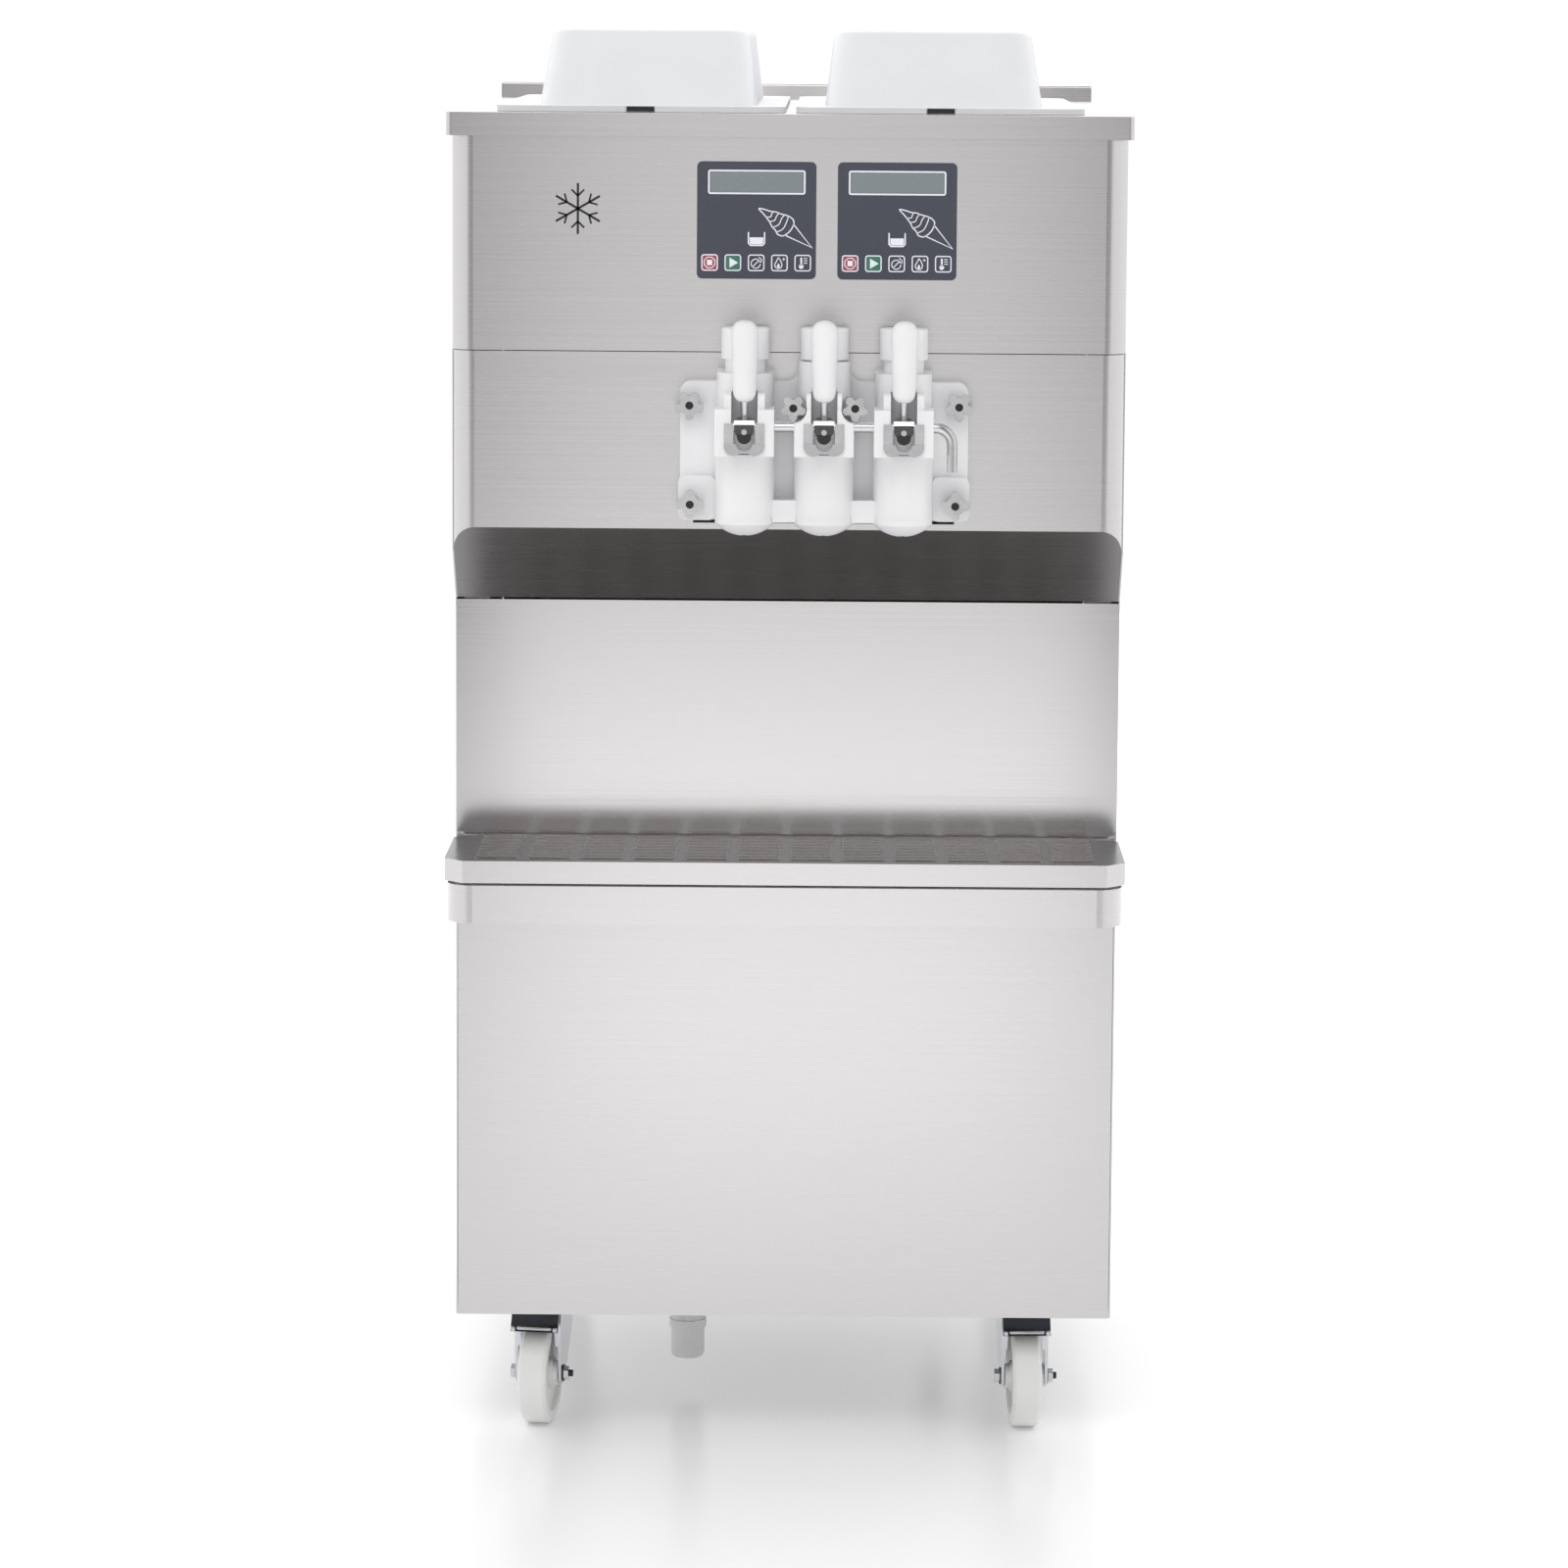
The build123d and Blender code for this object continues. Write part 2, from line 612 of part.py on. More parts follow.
def draw_lever(side):
    """Steel lever: hub on the rod, finger to the piston, arm to the grip and front nose."""
    x = column_x(side)
    hub = bar_x(Y_PIVOT, Z_PIVOT, 7.5, (x - 9.5, x + 9.5))
    finger = slab((x - 6, x + 6), (Y_PIVOT, Y_PIVOT + LEVER_REACH - 3), (Z_PIVOT - 3, Z_PIVOT + 3))
    tip = bar_x(Y_PIVOT + LEVER_REACH - 3, Z_PIVOT, 3, (x - 6, x + 6))
    arm = Pos(x, Y_PIVOT, Z_PIVOT) * Rot(LEVER_TILT, 0, 0) * Pos(0, 0, 40) * Cylinder(ARM_R, 80)
    nose = side_prism(
        [(-414, 1004), (-414, 1014), (-430, 1014), (-433, 1006), (-433, 1003), (-429, 1003),
         (-429, 1004)],
        (x - 9.5, x + 9.5),
    )
    tongue = slab((x - 7, x + 7), (-433, -429), (999, 1004)) + bar_y(x, 999, 7, (-433, -429))
    lever = hub + finger + tip + arm + nose + tongue
    screw = bar_y(x, 1003.5, 2.6, (-434.2, -432))
    return lever + screw - bar_x(Y_PIVOT, Z_PIVOT, ROD_R + RUNNING, (x - 12, x + 12))


def grip(side):
    """Plump white handle with domed ends, slightly narrower at its foot."""
    low, high, thin, plump = 24.0, 102.0, 10.9, 12.9
    waist, shoulder = (thin, 0, low + 12), (plump, 0, high - 15)
    outline = [
        Spline((0, 0, low), waist, tangents=((1, 0, 0), (0, 0, 1))),
        Line(waist, shoulder),
        Spline(shoulder, (0, 0, high), tangents=((0, 0, 1), (-1, 0, 0))),
        Line((0, 0, high), (0, 0, low)),
    ]
    handle = revolve(make_face(outline), Axis.Z)
    handle -= Pos(0, 0, 52) * Cylinder(ARM_R + RUNNING, 58)
    return Pos(column_x(side), Y_PIVOT, Z_PIVOT) * Rot(LEVER_TILT, 0, 0) * handle


def pivot_rod():
    """Lever rod, bent down at its right-hand end."""
    start, turn, low, bend = -56.0, 154.0, 966.0, 16.0
    route = FilletPolyline(
        (start, Y_PIVOT, Z_PIVOT), (turn, Y_PIVOT, Z_PIVOT), (turn, Y_PIVOT, low), radius=bend
    )
    section = Plane(origin=route @ 0, z_dir=route % 0) * Circle(ROD_R)
    return sweep(section, route)


def star_knob(dx, z, seat, lobes, reach):
    """Lobed clamping nut on one stud, drilled through at the front."""
    lobe_r = reach * 0.31
    nut = bar_y(0, 0, reach * 0.66, (seat - 16, seat - 0.3))
    for lobe in range(lobes):
        turn = Rot(0, 90 + lobe * 360 / lobes, 0)
        nut += turn * bar_y(reach - lobe_r, 0, lobe_r, (seat - 15.5, seat - 6.5))
    nut -= bar_y(0, 0, STUD_R + RUNNING, (seat - STUD_END - 0.5, seat))
    nut -= bar_y(0, 0, 3.8, (seat - 18, seat - STUD_END))
    return Pos(DOOR_X + dx, 0, z) * nut


# ---------------------------------------------------------------- casters
def caster_place(name):
    """Frame of a caster: X along its axle, -Y the way it trails, origin on the floor."""
    x, y, heading = CASTERS[name]
    return Pos(x, y, 0) * Rot(0, 0, heading - 270)


def caster_plates():
    """Top plates with their king pins."""
    plates = []
    for name in CASTERS:
        x, y, heading = CASTERS[name]
        plate = rounded_block((x - 42, x + 42), (y - 36, y + 36), (Z_BODY, Z_BASE), 6)
        plates.append(plate + column(x, y, 6, (112, Z_BODY)))
    return group(plates)


def caster_fork(name):
    """Pressed fork with its race, and the axle bolt with head and nut."""
    fork = column(0, 0, 33, (115, Z_BODY - 0.4))
    fork += slab((-23, 23), (-44, 22), (109, 116))
    leg = [(20, 112), (-50, 112), (-50, 96), (-TRAIL - 11, 44), (-TRAIL, 39), (-TRAIL + 11, 44),
           (14, 92)]
    for face in ((-23, -20), (20, 23)):
        fork += side_prism(leg, face)
    if name.startswith("front"):
        for ear in ((-19.5, -16.5), (16.5, 19.5)):
            fork += slab(ear, (-44, -38), (115, 120))
        fork += bar_x(*PEDAL_HINGE, 0.8, (-18, 18))
    fork -= column(0, 0, 6 + RUNNING, (100, 130))
    fork -= bar_x(-TRAIL, WHEEL_R, 4.1, (-30, 30))
    axle = bar_x(-TRAIL, WHEEL_R, 4, (-27, 29))
    nut = Rot(0, 90, 0) * extrude(RegularPolygon(7, 6), 6)
    axle += Pos(-29, -TRAIL, WHEEL_R) * nut + Pos(23, -TRAIL, WHEEL_R) * nut
    return caster_place(name) * group([fork, axle])


def caster_wheel(name):
    """Solid nylon wheel with chamfered tread edges and dished sides."""
    tread = bar_x(0, 0, WHEEL_R, (-14, 14))
    tread = chamfer(tread.edges().filter_by(GeomType.CIRCLE), 3)
    for side in (-1, 1):
        face = sorted((side * 9.5, side * 15))
        tread -= bar_x(0, 0, 38, face) - bar_x(0, 0, 15, face)
    wheel = tread + bar_x(0, 0, 12, (-19, 19)) - bar_x(0, 0, 4 + RUNNING, (-20, 20))
    return caster_place(name) * Pos(0, -TRAIL, WHEEL_R) * wheel


def brake_pedal(name):
    """Brake tread in front of the fork, hinged on a cross pin above the wheel."""
    tread = side_prism([(-54, 119), (-58, 121), (-69, 99), (-64.5, 99), (-55, 117)], (-23.5, 23.5))
    tread += slab((-16, 16), (-56, PEDAL_HINGE[0]), (117, 119))
    tread += bar_x(*PEDAL_HINGE, 1.7, (-16, 16))
    tread += bar_x(-66.5, 99.6, 1.8, (-23.5, 23.5))
    return caster_place(name) * (tread - bar_x(*PEDAL_HINGE, 0.85, (-17, 17)))


# ---------------------------------------------------------------- the parts
def make_parts():
    parts = {
        "base_plate": base_plate(),
        "frame_tubes": frame_tubes(),
        "rear_panel": rear_panel(),
        "rear_upstand": rear_upstand(),
        "top_cover": top_cover(),
        "head_upper_panel": head_upper_panel(),
        "head_lower_panel": head_lower_panel(),
        "splash_panel": splash_panel(),
        "lower_front_panel": lower_front_panel(),
        "drip_shelf": drip_shelf(),
        "hoppers": hoppers(),
        "feed_tubes": feed_tubes(),
        "control_overlays": control_overlays(),
        "display_windows": display_windows(),
        "freezing_cylinders": freezing_cylinders(),
        "gearmotors": gearmotors(),
        "compressor": compressor(),
        "condenser": condenser(),
        "condenser_fan": condenser_fan(),
        "electrical_box": electrical_box(),
        "drain_fitting": drain_fitting(),
        "dispensing_door": dispensing_door(),
        "door_studs": door_studs(),
        "spout_caps": spout_caps(),
        "spring_clips": spring_clips(),
        "pivot_rod": pivot_rod(),
        "drip_pan": drip_pan(),
        "drip_grille": drip_grille(),
        "caster_plates": caster_plates(),
    }
    for name, side in SIDES.items():
        parts[f"side_panel_{name}"] = side_panel(side)
        parts[f"hopper_lid_{name}"] = hopper_lid(side)
        parts[f"beater_{name}"] = beater(side)
    for name, side in COLUMNS.items():
        parts[f"valve_piston_{name}"] = valve_piston(side)
        parts[f"draw_lever_{name}"] = draw_lever(side)
        parts[f"grip_{name}"] = grip(side)
    for name, knob in KNOBS.items():
        parts[f"star_knob_{name}"] = star_knob(*knob)
    for name in CASTERS:
        parts[f"caster_fork_{name}"] = caster_fork(name)
        parts[f"caster_wheel_{name}"] = caster_wheel(name)
        if name.startswith("front"):
            parts[f"brake_pedal_{name}"] = brake_pedal(name)
    return parts


os.makedirs("parts", exist_ok=True)
for node, shape in make_parts().items():
    export_step(shape, f"parts/{node}.step")
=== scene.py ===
"""Looks of a floor-standing soft serve machine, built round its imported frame.

Metres, +Z up, front facing -Y.
"""
import json
import math

import bmesh
import bpy
from mathutils import Matrix, Vector


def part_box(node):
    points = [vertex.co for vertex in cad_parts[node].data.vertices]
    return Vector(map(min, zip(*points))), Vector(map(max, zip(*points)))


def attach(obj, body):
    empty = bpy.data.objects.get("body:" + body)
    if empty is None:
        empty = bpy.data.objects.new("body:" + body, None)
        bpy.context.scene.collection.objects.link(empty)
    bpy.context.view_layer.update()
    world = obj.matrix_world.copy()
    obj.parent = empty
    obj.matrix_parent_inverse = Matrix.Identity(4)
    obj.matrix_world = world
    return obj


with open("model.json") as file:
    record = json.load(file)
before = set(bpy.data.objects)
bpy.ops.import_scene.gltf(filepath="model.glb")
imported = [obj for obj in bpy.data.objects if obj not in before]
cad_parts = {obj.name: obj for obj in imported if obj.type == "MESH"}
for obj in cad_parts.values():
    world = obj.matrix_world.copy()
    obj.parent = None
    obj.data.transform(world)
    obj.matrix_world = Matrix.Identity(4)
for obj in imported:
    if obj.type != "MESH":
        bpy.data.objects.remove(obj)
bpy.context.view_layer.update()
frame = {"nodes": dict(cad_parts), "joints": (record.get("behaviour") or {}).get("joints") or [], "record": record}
MM = 0.001


# ---------------------------------------------------------------- node helpers
class Shade:
    """A material under construction: its node tree, with short calls for the nodes used here."""

    def __init__(self, name, colour, roughness, metallic=0.0):
        self.material = bpy.data.materials.new(name)
        self.material.use_nodes = True
        self.tree = self.material.node_tree
        self.shader = self.tree.nodes["Principled BSDF"]
        self.shader.inputs["Metallic"].default_value = metallic
        self.shader.inputs["Base Color"].default_value = (*colour, 1)
        self.shader.inputs["Roughness"].default_value = roughness
        self.material.diffuse_color = (*colour, 1)

    def node(self, kind, **values):
        made = self.tree.nodes.new(kind)
        for key, value in values.items():
            setattr(made, key, value)
        return made

    def link(self, source, target):
        self.tree.links.new(source, target)

    def noise(self, stretch, detail=3.0, rough=0.55):
        """Noise over the object's own coordinates, in features per metre along X, Y and Z."""
        place = self.node("ShaderNodeTexCoord")
        scale = self.node("ShaderNodeMapping")
        scale.inputs["Scale"].default_value = stretch
        made = self.node("ShaderNodeTexNoise")
        made.inputs["Scale"].default_value = 1.0
        made.inputs["Detail"].default_value = detail
        made.inputs["Roughness"].default_value = rough
        self.link(place.outputs["Object"], scale.inputs["Vector"])
        self.link(scale.outputs["Vector"], made.inputs["Vector"])
        return made.outputs["Fac"]

    def spread(self, source, low, high):
        """Maps a 0 to 1 value to low to high."""
        made = self.node("ShaderNodeMapRange")
        made.inputs["From Min"].default_value = 0.25
        made.inputs["From Max"].default_value = 0.75
        made.inputs["To Min"].default_value = low
        made.inputs["To Max"].default_value = high
        self.link(source, made.inputs["Value"])
        return made.outputs["Result"]

    def mix(self, factor, first, second):
        """Colour between first and second; either may be a colour or an output."""
        made = self.node("ShaderNodeMix", data_type="RGBA")
        for socket, value in ((6, first), (7, second)):
            if isinstance(value, tuple):
                made.inputs[socket].default_value = (*value, 1)
            else:
                self.link(value, made.inputs[socket])
        self.link(factor, made.inputs[0])
        return made.outputs[2]

    def facing(self, axis, start, end):
        """0 where the surface's normal along an axis is below start, 1 above end."""
        normal = self.node("ShaderNodeNewGeometry")
        split = self.node("ShaderNodeSeparateXYZ")
        made = self.node("ShaderNodeMapRange")
        made.inputs["From Min"].default_value = start
        made.inputs["From Max"].default_value = end
        self.link(normal.outputs["Normal"], split.inputs["Vector"])
        self.link(split.outputs[axis], made.inputs["Value"])
        return made.outputs["Result"]

    def colour(self, output):
        self.link(output, self.shader.inputs["Base Color"])

    def roughness(self, output):
        self.link(output, self.shader.inputs["Roughness"])

    def bump(self, source, height):
        made = self.node("ShaderNodeBump")
        made.inputs["Distance"].default_value = height
        made.inputs["Strength"].default_value = 0.5
        self.link(source, made.inputs["Height"])
        self.link(made.outputs["Normal"], self.shader.inputs["Normal"])


def tint(colour, factor):
    return tuple(min(1.0, part * factor) for part in colour)


# ---------------------------------------------------------------- materials
def brushed_steel(name, colour=(0.67, 0.655, 0.655), roughness=0.24, painted_top_shade=1.0, under=1.0):
    """Sheet steel with a fine horizontal grain; the two shade factors paint shade onto the faces that look up or
    down, darkening them.
    """
    shade = Shade(name, colour, roughness, 1.0)
    grain = shade.noise((3, 3, 1400), 2.0)
    flat_grain = shade.noise((3, 1400, 3), 2.0)
    cloud = shade.noise((2.2, 2.2, 0.8), 2.0)
    up = shade.facing("Z", 0.80, 0.90)
    fine = shade.node("ShaderNodeMix", data_type="FLOAT")
    shade.link(up, fine.inputs[0])
    shade.link(grain, fine.inputs[2])
    shade.link(flat_grain, fine.inputs[3])
    streaked = shade.mix(shade.spread(fine.outputs[0], 0, 1), tint(colour, 0.955), tint(colour, 1.03))
    clouded_and_painted_shade = shade.mix(shade.spread(cloud, 0.0, 0.10), streaked, tint(colour, 0.80))
    # painted shade: faces that look up are darkened
    if painted_top_shade < 1:
        clouded_and_painted_shade = shade.mix(up, clouded_and_painted_shade, tint(colour, painted_top_shade))
    # painted shade: faces that look down are darkened
    if under < 1:
        down = shade.node("ShaderNodeMath", operation="SUBTRACT")
        down.inputs[0].default_value = 1.0
        shade.link(shade.facing("Z", -0.45, -0.25), down.inputs[1])
        clouded_and_painted_shade = shade.mix(down.outputs[0], clouded_and_painted_shade, tint(colour, under))
    shade.colour(clouded_and_painted_shade)
    shade.roughness(shade.spread(fine.outputs[0], roughness - 0.03, roughness + 0.05))
    shade.bump(fine.outputs[0], 0.00001)
    return shade.material


def bright_metal(name, colour=(0.78, 0.78, 0.79), roughness=0.12):
    """Turned or plated metal with faint smears."""
    shade = Shade(name, colour, roughness, 1.0)
    smear = shade.noise((60, 60, 60), 3.0)
    shade.colour(shade.mix(shade.spread(smear, 0, 1), tint(colour, 0.90), tint(colour, 1.04)))
    shade.roughness(shade.spread(smear, roughness - 0.03, roughness + 0.10))
    shade.bump(shade.noise((900, 900, 900), 1.0), 0.000004)
    return shade.material


def moulded(name, colour, roughness=0.35, milky=0.0, grain=0.00002):
    """Plastic with a faint cloudiness and a fine moulded skin."""
    shade = Shade(name, colour, roughness)
    if milky:
        shade.shader.inputs["Subsurface Weight"].default_value = milky
        shade.shader.inputs["Subsurface Radius"].default_value = (0.006, 0.006, 0.006)
        shade.shader.inputs["Subsurface Scale"].default_value = 1.0
    cloud = shade.noise((14, 14, 14), 3.0)
    shade.colour(shade.mix(shade.spread(cloud, 0, 1), tint(colour, 0.97), tint(colour, 1.015)))
    shade.roughness(shade.spread(shade.noise((40, 40, 40), 2.0), roughness - 0.05, roughness + 0.06))
    shade.bump(shade.noise((700, 700, 700), 1.0), grain)
    return shade.material


def painted(name, colour, roughness=0.35):
    """Paint with a light orange peel."""
    shade = Shade(name, colour, roughness)
    shade.shader.inputs["Coat Weight"].default_value = 0.3
    dust = shade.noise((25, 25, 25), 4.0)
    shade.colour(shade.mix(shade.spread(dust, 0, 1), tint(colour, 0.88), tint(colour, 1.10)))
    shade.roughness(shade.spread(dust, roughness - 0.06, roughness + 0.08))
    shade.bump(shade.noise((420, 420, 420), 2.0), 0.00003)
    return shade.material


def fins_with_painted_gap_shade(name, colour=(0.62, 0.63, 0.64)):
    """Condenser fins: painted shade in thin dark gaps between bright edges."""
    shade = Shade(name, colour, 0.35, 1.0)
    place = shade.node("ShaderNodeTexCoord")
    wave = shade.node("ShaderNodeTexWave", bands_direction="X")
    wave.inputs["Scale"].default_value = 90.0
    shade.link(place.outputs["Object"], wave.inputs["Vector"])
    shade.colour(shade.mix(wave.outputs["Fac"], tint(colour, 0.15), colour))
    shade.bump(wave.outputs["Fac"], 0.0005)
    return shade.material


STEEL = brushed_steel("steel_brushed")
MATERIALS = {
    "cabinet_steel": STEEL,
    "frame_steel": brushed_steel("steel_frame", (0.40, 0.40, 0.40), 0.42),
    "tank_steel": brushed_steel("steel_tank", (0.74, 0.74, 0.73), 0.24),
    "polished_steel": bright_metal("steel_polished", (0.60, 0.60, 0.61), 0.16),
    "white_plastic": moulded("plastic_white", (0.86, 0.86, 0.87), 0.34, milky=0.15),
    "lid_plastic": moulded("plastic_lid", (0.76, 0.77, 0.79), 0.38, grain=0.000004),
    "overlay_film": moulded("film_slate", (0.052, 0.056, 0.080), 0.42),
    "display_film": moulded("film_display", (0.215, 0.245, 0.262), 0.25),
    "cast_housing": painted("cast_grey", (0.34, 0.35, 0.36), 0.45),
    "compressor_paint": painted("paint_black", (0.025, 0.025, 0.028), 0.25),
    "fin_aluminium": fins_with_painted_gap_shade("fins"),
    "box_paint": painted("paint_grey", (0.45, 0.46, 0.46), 0.45),
    "fan_plastic": moulded("plastic_black", (0.03, 0.03, 0.032), 0.40),
    "zinc_plate": bright_metal("zinc_bright", (0.66, 0.68, 0.71), 0.18),
    "wheel_nylon": moulded("nylon_white", (0.84, 0.84, 0.83), 0.38, milky=0.2),
    "pedal_black": bright_metal("pedal_dark_plate", (0.055, 0.06, 0.07), 0.13),
}
# painted shade: the grille's top is darkened, standing in for the dark surroundings it reflects
GRILLE_STEEL_PAINTED_TOP_SHADE = brushed_steel("steel_tray_painted_shade", painted_top_shade=0.22)
# painted shade: the head panel's downward-facing undercut is darkened
HEAD_STEEL_PAINTED_UNDER_SHADE = brushed_steel("steel_head_painted_shade", under=0.44)
SPLASH_STEEL = brushed_steel("steel_splash", roughness=0.15)
# painted reflection: the steel pan gets a pale non-metallic colour standing in for the bright light it reflects
# through the slots
PAN_PAINTED_REFLECTION = moulded("pan_painted_reflection", (0.90, 0.88, 0.85), 0.40)
PRINT_WHITE = moulded("print_white", (0.86, 0.87, 0.93), 0.45)
PRINT_RED = moulded("print_red", (0.36, 0.075, 0.095), 0.42)
PRINT_GREEN = moulded("print_green", (0.040, 0.185, 0.115), 0.42)
# black for print, and for the painted shadows in the knob holes and lid notches
PRINT_AND_SHADOW_BLACK = moulded("print_and_shadow_black", (0.012, 0.012, 0.013), 0.40)
DARK_PLATE = bright_metal("plate_dark", (0.105, 0.105, 0.110), 0.20)
RUBBER = moulded("rubber_black", (0.02, 0.02, 0.021), 0.60)


def dress_cad():
    """Gives every node of the frame its own procedural material."""
    slots = {row["node"]: row["material_slot"] for row in frame["record"]["subparts"]}
    # the grille's top and the head's undercut carry painted shade, the pan a painted reflection
    special = {
        "drip_grille": GRILLE_STEEL_PAINTED_TOP_SHADE, "head_lower_panel": HEAD_STEEL_PAINTED_UNDER_SHADE,
        "splash_panel": SPLASH_STEEL, "drip_pan": PAN_PAINTED_REFLECTION,
    }
    for name, item in frame["nodes"].items():
        item.data.materials.clear()
        item.data.materials.append(special.get(name) or MATERIALS[slots[name]])
        for face in item.data.polygons:
            face.material_index = 0


# ---------------------------------------------------------------- mesh helpers
def place_mesh(name, mesh, material, body, smooth=40):
    """Turns a bmesh into a piece that rides on a body."""
    bmesh.ops.recalc_face_normals(mesh, faces=mesh.faces)
    data = bpy.data.meshes.new(name)
    mesh.to_mesh(data)
    mesh.free()
    item = bpy.data.objects.new(name, data)
    bpy.context.scene.collection.objects.link(item)
    data.materials.append(material)
    data.shade_smooth()
    data.set_sharp_from_angle(angle=math.radians(smooth))
    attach(item, body)
    return item


def add_bar(mesh, centre, size, matrix=Matrix(), bevel=0.0):
    """A block with rounded edges."""
    block = bmesh.ops.create_cube(mesh, size=1.0)["verts"]
    place = matrix @ Matrix.Translation(centre) @ Matrix.Diagonal((*size, 1))
    bmesh.ops.transform(mesh, matrix=place, verts=block)
    if bevel:
        edges = list({edge for vert in block for edge in vert.link_edges})
        bmesh.ops.bevel(mesh, geom=edges, offset=bevel, segments=3, affect="EDGES", profile=0.5)


def add_turning(mesh, profile, matrix, steps=32):
    """A turned solid about +Z from (radius, height) points, moved by matrix."""
    rings = []
    for radius, height in profile:
        ring = []
        for step in range(steps):
            angle = 2 * math.pi * step / steps
            point = Vector((radius * math.cos(angle), radius * math.sin(angle), height))
            ring.append(mesh.verts.new(matrix @ point))
        rings.append(ring)
    for low, high in zip(rings, rings[1:]):
        for step in range(steps):
            after = (step + 1) % steps
            mesh.faces.new((low[step], low[after], high[after], high[step]))
    mesh.faces.new(rings[0])
    mesh.faces.new(rings[-1])


def screw_profile(radius, height):
    """Low domed screw head."""
    return [(radius, 0), (radius, height * 0.35), (radius * 0.86, height * 0.75), (radius * 0.5, height)]


FACING = {                        # turns +Z to each outward direction
    "-Y": Matrix.Rotation(math.radians(90), 4, "X"),
    "+Y": Matrix.Rotation(math.radians(-90), 4, "X"),
    "-X": Matrix.Rotation(math.radians(-90), 4, "Y"),
    "+X": Matrix.Rotation(math.radians(90), 4, "Y"),
    "-Z": Matrix.Rotation(math.radians(180), 4, "X"),
}


# ---------------------------------------------------------------- printed graphics
class Print:
    """Flat artwork on a vertical face looking along -Y. Artwork points are millimetres from its centre."""

    def __init__(self, centre, thickness=0.12 * MM):
        self.centre = centre
        self.thickness = thickness
        self.mesh = bmesh.new()

    def at(self, point, layer):
        return self.centre + Vector((point[0] * MM, -layer * self.thickness, point[1] * MM))

    def area(self, points):
        """A filled outline."""
        back = [self.mesh.verts.new(self.at(p, 0)) for p in points]
        front = [self.mesh.verts.new(self.at(p, 1)) for p in points]
        self.mesh.faces.new(back)
        self.mesh.faces.new(front)
        for i in range(len(points)):
            j = (i + 1) % len(points)
            self.mesh.faces.new((back[i], back[j], front[j], front[i]))

    def line(self, points, width, closed=False):
        """A stroke of even width along a run of points."""
        count = len(points)
        sides = []
        for i, point in enumerate(points):
            here = Vector(point)
            before = Vector(points[i - 1]) if closed or i else None
            after = Vector(points[(i + 1) % count]) if closed or i < count - 1 else None
            into = (here - before).normalized() if before is not None else None
            out = (after - here).normalized() if after is not None else into
            into = into or out
            way = (into + out).normalized()
            reach = width / 2 / max(0.5, way.dot(out))
            across = Vector((-way.y, way.x)) * reach
            sides.append((here + across, here - across))
        corners = [
            [self.mesh.verts.new(self.at(side[k], layer)) for k, layer in ((0, 0), (1, 0), (1, 1), (0, 1))]
            for side in sides
        ]
        for i in range(count if closed else count - 1):
            one, two = corners[i], corners[(i + 1) % count]
            for k in range(4):
                self.mesh.faces.new((one[k], one[(k + 1) % 4], two[(k + 1) % 4], two[k]))
        if not closed:
            self.mesh.faces.new(corners[0])
            self.mesh.faces.new(corners[-1])

    def finish(self, name, material, slot="overlay_film", body="cabinet"):
        return place_mesh(name, self.mesh, material, body)


def arc(centre, radius, start, end, steps=12, flat=1.0):
    """Points along an arc, in degrees; flat squeezes it upright."""
    points = []
    for i in range(steps + 1):
        angle = math.radians(start + (end - start) * i / steps)
        points.append((centre[0] + radius * math.cos(angle), centre[1] + flat * radius * math.sin(angle)))
    return points


def rounded_square(centre, width, height, radius):
    points = []
    for quarter, (sx, sy) in enumerate(((1, 1), (-1, 1), (-1, -1), (1, -1))):
        corner = (centre[0] + sx * (width / 2 - radius), centre[1] + sy * (height / 2 - radius))
        points += arc(corner, radius, 90 * quarter, 90 * quarter + 90, 5)
    return points


def turned(points, degrees, shift):
    """Points turned about the origin, then moved."""
    c, s = math.cos(math.radians(degrees)), math.sin(math.radians(degrees))
    return [(c * x - s * y + shift[0], s * x + c * y + shift[1]) for x, y in points]


PANEL_WIDTH = 112.5 * MM
KEY_X = (-44.2, -22.2, -0.2, 21.8, 43.8)      # key centres from the panel's centre, mm
KEY_Y = -40.0
KEY_SIZE = 15.6
WINDOW_FRAME = (90.4, 21.4)                   # printed line round the display, mm


